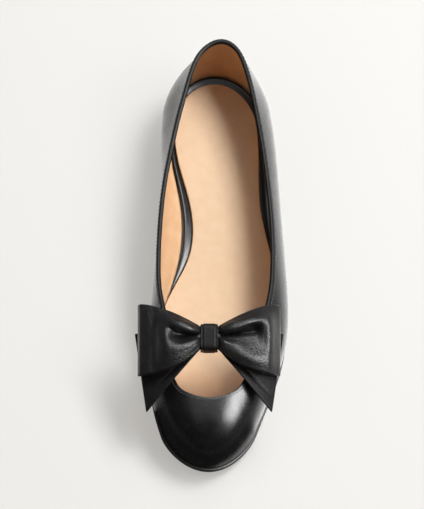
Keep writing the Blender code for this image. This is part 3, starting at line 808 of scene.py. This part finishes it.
def slab_mesh(name, loops, dish=0.0):
    """A closed solid through rings of points, whose upper face, the last ring's, dips by dish."""
    made = [np.array(p) for loop in loops for p in loop]
    quads = grid_faces(len(loops), COLUMNS)
    half = COLUMNS // 2
    for first, deep in ((0, 0.0), ((len(loops) - 1) * COLUMNS, dish)):
        lines = [[first] * (SLAB_ACROSS + 1)]
        for k in range(1, half):
            a, b = first + k, first + COLUMNS - k
            width = np.linalg.norm(made[a] - made[b])
            line = [a]
            for q in range(1, SLAB_ACROSS):
                share = q / SLAB_ACROSS
                dip = deep * min(1.0, width / FULL_DISH_WIDTH) * 4 * share * (1 - share)
                line.append(len(made))
                made.append(made[a] + (made[b] - made[a]) * share - np.array([0, 0, dip]))
            lines.append([*line, b])
        lines.append([first + half] * (SLAB_ACROSS + 1))
        for here, there in zip(lines, lines[1:]):
            for q in range(SLAB_ACROSS):
                corners = (here[q], here[q + 1], there[q + 1], there[q])
                quads.append(tuple(dict.fromkeys(corners)))
    return make_mesh(name, made, quads)


def sole_piece(name, section, low, inset_at, material, node, dish=0.0):
    """A layer of the sole. section lists its edge, from below, as (inset, height over its foot)."""
    loops = [
        ring(lambda turn: inset_at(turn) + inset, lambda y: sole_bottom(y) + low + up)
        for inset, up in section
    ]
    add_piece(name, slab_mesh(name, loops, dish), material, [node], 50)


def round_edge(radius, height, foot):
    """An edge section that is square below and rounded above."""
    found = [(foot, 0.0), (0.0, foot), (0.0, height - radius)]
    for a in np.linspace(0, math.pi / 2, 6)[1:]:
        found.append((radius * (1 - math.cos(a)), height - radius * (1 - math.sin(a))))
    return found


BOARD_LOW = OUTSOLE_THICKNESS + GAP


def insole_board():
    """The black insole, whose border rises from the sock to the wall where it is wide."""
    # share of the way from the wall to the sock, and share of the border's lift there
    border = [(0.0, 0.0), (0.02, 0.35), (0.07, 0.72), (0.14, 0.93), (0.24, 1.0), (0.40, 0.86)]
    border += [(0.60, 0.56), (0.80, 0.25), (1.0, 0.06), (1.2, 0.0)]
    loops = []
    for share, lift in border:
        points = []
        for turn in TURNS:
            wide = max(NARROW_RAND, outline_at(turn)[1])
            x, y = seam_offset(turn, wall_at_seam(turn) + GAP + RAND_WIDTH * wide * share)
            height = INSOLE_THICKNESS * (1.0 if share else 0.4) + INSOLE_LIFT * wide * lift
            points.append((x, y, sole_bottom(y) + BOARD_LOW + height))
        loops.append(points)
    foot = ring(lambda turn: wall_at_seam(turn) + GAP, lambda y: sole_bottom(y) + BOARD_LOW)
    loops.insert(0, foot)
    mesh = slab_mesh("insole_board", loops)
    add_piece("insole_board", mesh, INSOLE_LOOK, ["insole"], 50)


def even_run(line, steps):
    """The same open plan line, drawn in a number of equal steps."""
    line = np.array(line)
    lengths = lengths_along(line)
    return values_along(line, lengths, np.linspace(0, lengths[-1], steps + 1))


def heel_ring(inset, height):
    """The sole's outline behind the heel's breast and the hollow breast, moved in by the inset."""
    breast_y = SOLE_REAR_Y - HEEL_LENGTH + inset
    turns = [360 * k / COLUMNS for k in range(-COLUMNS // 2, COLUMNS // 2)]
    outline = [seam_offset(t, inset - OUTSOLE_MARGIN) for t in turns]
    found = list(even_run([p for p in outline if p[1] > breast_y], HEEL_BACK_STEPS))
    first, last = found[0], found[-1]
    for share in np.arange(BREAST_STEPS + 1) / BREAST_STEPS:
        hollow = HEEL_BREAST_HOLLOW * 4 * share * (1 - share)
        found.append((last[0] + (first[0] - last[0]) * share, breast_y + hollow))
    return [(x, y, height) for x, y in found]


def heel_block():
    """The low block heel with a rounded lower edge."""
    edge, top = HEEL_EDGE_ROUND, HEEL_HEIGHT - GAP
    loops = []
    for a in np.linspace(0, math.pi / 2, 5):
        loops.append(heel_ring(HEEL_TAPER + edge * (2 - math.sin(a)), edge * (1 - math.cos(a))))
    for share in (0.25, 0.5, 0.75, 1.0):
        loops.append(heel_ring(edge + HEEL_TAPER * (1 - share), edge + (top - edge) * share))
    quads = grid_faces(len(loops), len(loops[0]), caps=True)
    mesh = make_mesh("heel_block", [p for loop in loops for p in loop], quads)
    add_piece("heel_block", mesh, HEEL_LOOK, ["heel"], 50)


def rounded_sheet(name, centre, thickness, closed):
    """A leather sheet of even thickness round a grid of points, with half-round edges."""
    if closed:
        down = np.roll(centre, -1, axis=0) - np.roll(centre, 1, axis=0)
    else:
        down = np.gradient(centre, axis=0)
    right = np.gradient(centre, axis=1)
    normal = unit(np.cross(down, right))
    right = unit(right)
    half = thickness / 2
    angles = np.linspace(0, math.pi, 6)[1:-1]

    def section(i, scale=1.0, shift=0.0):
        """One closed line round the sheet, thinner by the scale and moved along the sheet."""
        out = half * scale
        rows = centre[i] + shift
        ends = [
            [math.cos(a) * normal[i][end] + math.sin(a) * right[i][end] for a in angles]
            for end in (-1, 0)
        ]
        line = [*(rows + out * normal[i]), *(rows[-1] + out * way for way in ends[0])]
        return line + [*(rows - out * normal[i])[::-1], *(rows[0] - out * way for way in ends[1])]

    sections = [section(i) for i in range(len(centre))]
    if not closed:
        start_way, end_way = unit(centre[0] - centre[1]), unit(centre[-1] - centre[-2])
        for a in (30, 60, 80):
            scale, reach = math.cos(math.radians(a)), half * math.sin(math.radians(a))
            sections.insert(0, section(0, scale, start_way * reach))
            sections.append(section(-1, scale, end_way * reach))
    quads = grid_faces(len(sections), len(sections[0]), closed=closed, caps=not closed)
    return make_mesh(name, [p for line in sections for p in line], quads)


# The loops' fronts: how far each swells, in hundredths of the puff, at shares of the way out from the
# knot (one a line) and at levels from the ankle's edge to the toe's.
LOOP_LEVELS = [-1.0, -0.84, -0.66, -0.52, -0.36, -0.08, 0.10, 0.34, 0.70, 1.0]
OUTER_LOOP = {
    0.00: [0, 0, 0, 0, 0, 0, 0, 0, 0, 0],
    0.06: [6, 22, 40, 40, 2, 0, 22, 40, 30, 14],
    0.18: [14, 44, 80, 80, 0, 16, 32, 58, 50, 30],
    0.36: [22, 56, 100, 104, 0, 26, 46, 72, 76, 46],
    0.54: [26, 60, 106, 112, 6, 30, 46, 68, 90, 52],
    0.68: [28, 60, 104, 112, 24, 40, 54, 74, 94, 56],
    0.80: [28, 56, 96, 108, 92, 82, 80, 86, 92, 56],
    0.89: [24, 46, 76, 94, 102, 102, 98, 92, 84, 48],
    1.00: [4, 10, 16, 22, 26, 28, 26, 24, 18, 8],
}
INNER_LOOP = {
    0.00: [0, 0, 0, 0, 0, 0, 0, 0, 0, 0],
    0.06: [6, 22, 42, 42, 2, 0, 20, 40, 30, 14],
    0.18: [16, 50, 92, 92, 4, 0, 30, 70, 54, 30],
    0.32: [24, 62, 108, 110, 10, 4, 44, 92, 74, 44],
    0.44: [28, 62, 100, 104, 46, 40, 80, 110, 86, 50],
    0.55: [28, 54, 82, 90, 88, 98, 114, 116, 88, 50],
    0.66: [26, 42, 56, 62, 72, 86, 92, 86, 68, 42],
    0.76: [22, 32, 40, 42, 46, 50, 50, 46, 38, 28],
    0.88: [22, 32, 40, 42, 42, 42, 42, 40, 34, 24],
    1.00: [10, 16, 20, 22, 24, 24, 24, 22, 18, 10],
}


def curve_weights(knots, places):
    """Weights that draw a smooth curve through values at the knots, one row a place."""
    knots = np.asarray(knots, float)
    count = len(knots)
    slopes = np.gradient(np.eye(count), knots, axis=0)
    found = np.zeros((len(places), count))
    for row, place in zip(found, places):
        k = int(np.clip(np.searchsorted(knots, place, side="right") - 1, 0, count - 2))
        step = knots[k + 1] - knots[k]
        t = (place - knots[k]) / step
        row[k] += (1 + 2 * t) * (1 - t) ** 2
        row[k + 1] += t * t * (3 - 2 * t)
        row += step * (t * (1 - t) ** 2 * slopes[k] + t * t * (t - 1) * slopes[k + 1])
    return found


def hump(value, middle, width):
    return np.exp(-np.abs((value - middle) / width) ** 2)


def loop_front(side, shares, levels):
    """The loop's front before it droops, as rows of (reach, along, off)."""
    knot = KNOT_WIDTH / 2 + GAP
    # fold is the reach that the pressed end takes up
    fold, table = (0.0026, OUTER_LOOP) if side > 0 else (0.0014, INNER_LOOP)
    weights = curve_weights(list(table), shares)
    height = weights @ np.array(list(table.values())) @ curve_weights(LOOP_LEVELS, levels).T
    rows = []
    for share, swells in zip(shares, height):
        reach = knot + (LOOP_REACH - fold - knot) * share
        row = []
        for level, swell in zip(levels, swells):
            along = loop_along(reach, level)
            # the upper ridge leans over the pocket below it
            along += RIDGE_LEAN * hump(level, -0.50, 0.12) * hump(share, 0.26, 0.22)
            off = LOOP_FRONT_OFF + LOOP_PUFF * swell / 100
            # gathers fan out from under the knot
            fan = math.cos(2 * math.pi * (2.6 * level + 0.2)) * math.exp(-share / 0.12)
            off += GATHER_DEPTH * fan * ease(share / 0.04)
            row.append((reach, along, off))
        rows.append(row)
    return rows


def bow_loops():
    """The bow's band: two puffed loops, closed at the back, with a pressed fold at each end."""
    levels = np.linspace(-1, 1, LOOP_LEVELS_DRAWN)
    parts = [np.linspace(0, 0.5, 30), np.linspace(0.5, 0.94, 24)[1:], np.linspace(0.94, 1, 6)[1:]]
    shares = np.concatenate(parts)
    knot = KNOT_WIDTH / 2 + GAP

    def side_rows(side):
        rows = loop_front(side, shares, levels)
        ends = rows[-1]
        fold = LOOP_REACH - ends[0][0]
        for part in (0.2, 0.4, 0.6, 0.8, 1.0):
            row = []
            for reach, along, off in ends:
                row.append((reach + fold * part, along, off - (off - LOOP_BACK_OFF) * part))
            rows.append(row)
        for reach in np.linspace(LOOP_REACH - 0.0012, knot, LOOP_BACK_STEPS):
            rows.append([(reach, loop_along(reach, level), LOOP_BACK_OFF) for level in levels])
        return [
            [bow_point(side * out, along, off - droop(out, LOOP_DROOP)) for out, along, off in row]
            for row in rows
        ]

    outer_side, inner_side = side_rows(1), side_rows(-1)
    front, back = (
        [bow_point(0.0, loop_along(0.0, level), off) for level in levels]
        for off in (LOOP_FRONT_OFF, LOOP_BACK_OFF)
    )
    centre = np.array([front, *outer_side, back, *inner_side[::-1]])
    mesh = rounded_sheet("bow_loops_leather", centre, BOW_SHEET, closed=True)
    add_piece("bow_loops_leather", mesh, BOW_LEATHER_LOOK, ["bow_loops"], 60)


def bow_tails():
    """The two pointed tails under the loops, one strip that passes under the knot."""
    knot = KNOT_WIDTH / 2
    reaches = list(np.linspace(knot, TAIL_TOP_REACH, TAIL_STEPS_OUT))
    stations = [-r for r in reversed(reaches)] + [0.0] + reaches
    rows = []
    for signed in stations:
        top, tip = tail_edges(abs(signed))
        out = max(0.0, (abs(signed) - knot) / (TAIL_TOP_REACH - knot))
        row = []
        for share in np.linspace(0, 1, TAIL_STEPS_DOWN):
            across = top[0] + (tip[0] - top[0]) * share
            along = top[1] + (tip[1] - top[1]) * share
            off = TAILS_OFF - droop(across, TAIL_DROOP)
            off += TAIL_TIP_LIFT * max(0.0, along / TAIL_TIP_DROP) ** 2
            fold = TAIL_RIDGE * ease(out / 0.1)
            off += fold * hump(share, 1.0, 0.12) * hump(out, 0.30, 0.30)
            off -= fold * hump(share, 0.84, 0.03) * hump(out, 0.40, 0.36)
            row.append(bow_point(math.copysign(across, signed), along, off))
        rows.append(row)
    mesh = rounded_sheet("bow_tails_leather", np.array(rows), BOW_SHEET, closed=False)
    add_piece("bow_tails_leather", mesh, TAIL_LOOK, ["bow_tails"], 60)


# The knot's face: share of the way from its middle to its side, and its rise there as a share of
# its leather.
KNOT_FACE = [(0, 1.10), (0.40, 1.10), (0.66, 1.04), (0.76, 0.74), (0.81, 0.70), (0.87, 0.92)]
KNOT_FACE += [(0.94, 0.90), (1.0, 0.5)]


def bow_knot():
    """The knot: a band round the loops, the tails and the strap, with a fold along each side."""
    low = -UPPER_WALL - BINDING_SKIN - GAP - KNOT_SLACK
    high = LOOP_FRONT_OFF + BOW_LEATHER / 2 + GAP
    half = max(BOW_GATHER / 2, STRAP_WIDTH / 2 + BINDING_SKIN) + GAP + KNOT_SLACK
    middle, tall = (low + high) / 2, (high - low) / 2
    side = KNOT_WIDTH / 2

    def band(grow, across):
        """One closed line round the bow and strap, its corners squarer than an ellipse's."""
        found = []
        for q in range(KNOT_STEPS_ROUND):
            angle = 2 * math.pi * q / KNOT_STEPS_ROUND
            c, s = math.cos(angle), math.sin(angle)
            power = 0.25 if s > 0 else 0.2
            along = math.copysign(abs(c) ** power, c) * half + grow * c
            off = math.copysign(abs(s) ** power, s) * tall + grow * s
            found.append(bow_point(across, along, middle + off))
        return found

    places, face = np.array(KNOT_FACE).T
    shares = np.linspace(-1, 1, KNOT_STEPS_ACROSS)
    rises = KNOT_LEATHER * (curve_weights(places, np.abs(shares)) @ face)
    loops = [band(0, -side * KNOT_FOOT)]
    loops += [band(rise, side * share) for rise, share in zip(rises, shares)]
    loops.append(band(0, side * KNOT_FOOT))
    quads = grid_faces(len(loops), KNOT_STEPS_ROUND, closed=True)
    mesh = make_mesh("bow_knot_leather", [p for loop in loops for p in loop], quads)
    add_piece("bow_knot_leather", mesh, TAIL_LOOK, ["bow_knot"], 70)


upper_leather()
upper_lining()
collar_binding()


def clear_of_bow(point):
    """Whether a stitch here isn't hidden under the bow."""
    return abs(point[0] - AXIS_X - VAMP_X) >= BOW_HIDES_HALF or point[1] >= BOW_HIDES_FROM


stitches_along("binding_stitches", collar_edge, -0.0020, 0.00036, BINDING_PITCH, clear_of_bow)
stitches_along("cutout_stitches", cutout_edge, -0.0011, 0.0, CUTOUT_PITCH)

# The outsole's edge from below: how far in from its outline, and height over its underside
OUTSOLE_SECTION = [
    (0.0010, 0.0), (0.0004, 0.00012), (0.0001, 0.0004), (0.0, 0.0008),
    (0.0, 0.0021), (0.0001, 0.0026), (0.0005, 0.0029), (0.0012, 0.0030),
]
sole_piece(
    "sole_rubber", OUTSOLE_SECTION, 0.0, lambda turn: -OUTSOLE_MARGIN, SOLE_LOOK,
    "outsole",
)
heel_block()
insole_board()
sole_piece(
    "sock_lining", round_edge(0.0007, SOCK_THICKNESS, 0.0002), BOARD_LOW + INSOLE_THICKNESS + GAP,
    lambda turn: wall_at_seam(turn) + GAP + RAND_WIDTH * outline_at(turn)[1], SOCK_LOOK,
    "sock", dish=0.0005,
)
bow_tails()
bow_loops()
bow_knot()

# Floor, light and camera
FLOOR_REACH = 6.0
corners = [(-1, -1), (1, -1), (1, 1), (-1, 1)]
floor_mesh = bpy.data.meshes.new("floor")
floor_mesh.from_pydata([(x * FLOOR_REACH, y * FLOOR_REACH, 0) for x, y in corners], [], [(0, 1, 2, 3)])
floor = linked("floor", floor_mesh)
floor.location.z = -0.0001  # so that it shares no plane with the sole
paint = Nodes("pale_floor")
paint.fill(paint.shader, {
    "Base Color": (0.372, 0.366, 0.355, 1),
    "Roughness": 0.9,
    "Specular IOR Level": 0.2,
    # the floor glows a little, as a light table does, so that shadows on it stay pale
    "Emission Color": (1.0, 0.99, 0.965, 1),
    "Emission Strength": 0.39,
    "Normal": paint.bump(paint.noise(400.0), 0.00003),
})
floor_mesh.materials.append(paint.material)


def aim(obj, target, toward, away):
    """Puts a lamp or the camera at a distance from the target, looking back at it."""
    obj.location = target + away * toward
    obj.rotation_euler = (-toward).to_track_quat("-Z", "Y").to_euler()


def area_light(name, width, height, power, gloss, colour=(1, 1, 1)):
    """An area light, seen only in reflections if it's for gloss, or else only on plain surfaces."""
    light = bpy.data.lights.new(name, "AREA")
    light.shape = "RECTANGLE"
    light.size, light.size_y = width, height
    light.energy = power
    light.color = colour
    obj = linked(name, light)
    obj.visible_glossy, obj.visible_diffuse = gloss, not gloss
    obj.visible_camera = False
    return obj


def floor_panel(name, x, y, width, length, power):
    """A pale panel on the floor beside the shoe, which shows in the gloss of its sides."""
    obj = area_light(name, width, length, power, gloss=True)
    obj.location = (x, y, 0.0005)
    obj.rotation_euler = (math.pi, 0, 0)


def dark_card(name, corners):
    """A dark card on the floor, which shows only in the gloss of the toe above it."""
    mesh = make_mesh(name, [(x, y, 0.0003) for x, y in corners], [tuple(range(len(corners)))])
    card = Nodes(name)
    card.fill(card.shader, {"Base Color": (0.02, 0.02, 0.02, 1), "Roughness": 1.0})
    mesh.materials.append(card.material)
    obj = linked(name, mesh)
    obj.visible_camera = obj.visible_diffuse = obj.visible_shadow = False


Softbox = namedtuple("Softbox", "name azimuth elevation away width height power colour gloss")
WHITE, WARM = (1, 1, 1), (1.0, 0.86, 0.70)
SOFTBOXES = [
    # Azimuth 0 is the shoe's outer side and 90 its heel, in degrees, and power is in watts.
    Softbox("key_light", 31, 60, 1.7, 0.60, 0.60, 28, WHITE, False),
    Softbox("rear_light", 70, 52, 1.7, 0.60, 0.60, 7, WHITE, False),
    Softbox("side_light", -15, 55, 1.7, 0.80, 0.80, 7, WHITE, False),
    Softbox("fill_light", 200, 50, 2.4, 2.6, 2.6, 10.5, WARM, False),
    Softbox("window_light", -17, 45, 1.7, 0.95, 0.8, 100, WHITE, True),
    Softbox("back_light", 75, 68, 1.7, 0.9, 0.9, 42, WHITE, True),
    Softbox("ceiling_light", 180, 84, 2.4, 2.2, 2.2, 26, WHITE, True),
]
for box in SOFTBOXES:
    a, e = math.radians(box.azimuth), math.radians(box.elevation)
    toward = Vector((math.cos(a) * math.cos(e), math.sin(a) * math.cos(e), math.sin(e)))
    lamp = area_light(box.name, box.width, box.height, box.power, box.gloss, box.colour)
    aim(lamp, Vector(), toward, box.away)
floor_panel("outer_panel", 0.060, 0.055, 0.060, 0.31, 0.074)
floor_panel("inner_panel", -0.060, 0.065, 0.060, 0.27, 0.030)
dark_card("toe_card", [
    (-0.25, -0.45), (0.20, -0.45), (0.20, -0.13), (0.042, -0.103), (0.027, -0.120),
    (0.010, -0.130), (0.0, -0.127), (0.0, -0.085), (-0.25, -0.085),
])
# A narrow warm lamp lights the sock through the cut-out, and doesn't show in the gloss
beam = bpy.data.lights.new("half_moon_light", "SPOT")
beam.energy = 36
beam.color = (1.0, 0.75, 0.52)
beam.shadow_soft_size = 0.03
beam.spot_size = math.radians(2.4)
beam.spot_blend = 1.0
half_moon = linked("half_moon_light", beam)
aim(half_moon, Vector((-0.0100, -0.079, 0.009)), Vector((0.28, -0.38, 0.88)).normalized(), 0.9)
half_moon.visible_glossy = half_moon.visible_camera = False

world = bpy.context.scene.world or bpy.data.worlds.new("studio")
bpy.context.scene.world = world
world.use_nodes = True
background = world.node_tree.nodes["Background"].inputs
background["Color"].default_value = (1.0, 0.99, 0.975, 1)
background["Strength"].default_value = 0.06
bpy.context.scene.view_settings.view_transform = "Standard"

PHOTO_HEIGHT = 509
ELEVATION = math.radians(62)
AIM = Vector((0.0, 0.0058, 0.020))
PIXELS_PER_METRE = 1760.0  # at the shoe, in a picture of that height
CAMERA_AWAY = 6.0
camera = bpy.data.cameras.new("camera")
camera.sensor_width = 36.0
camera.lens = camera.sensor_width * CAMERA_AWAY * PIXELS_PER_METRE / PHOTO_HEIGHT
camera.clip_start, camera.clip_end = 0.1, 20.0
view = linked("camera", camera)
aim(view, AIM, Vector((0, -math.cos(ELEVATION), math.sin(ELEVATION))), CAMERA_AWAY)
bpy.context.scene.camera = view
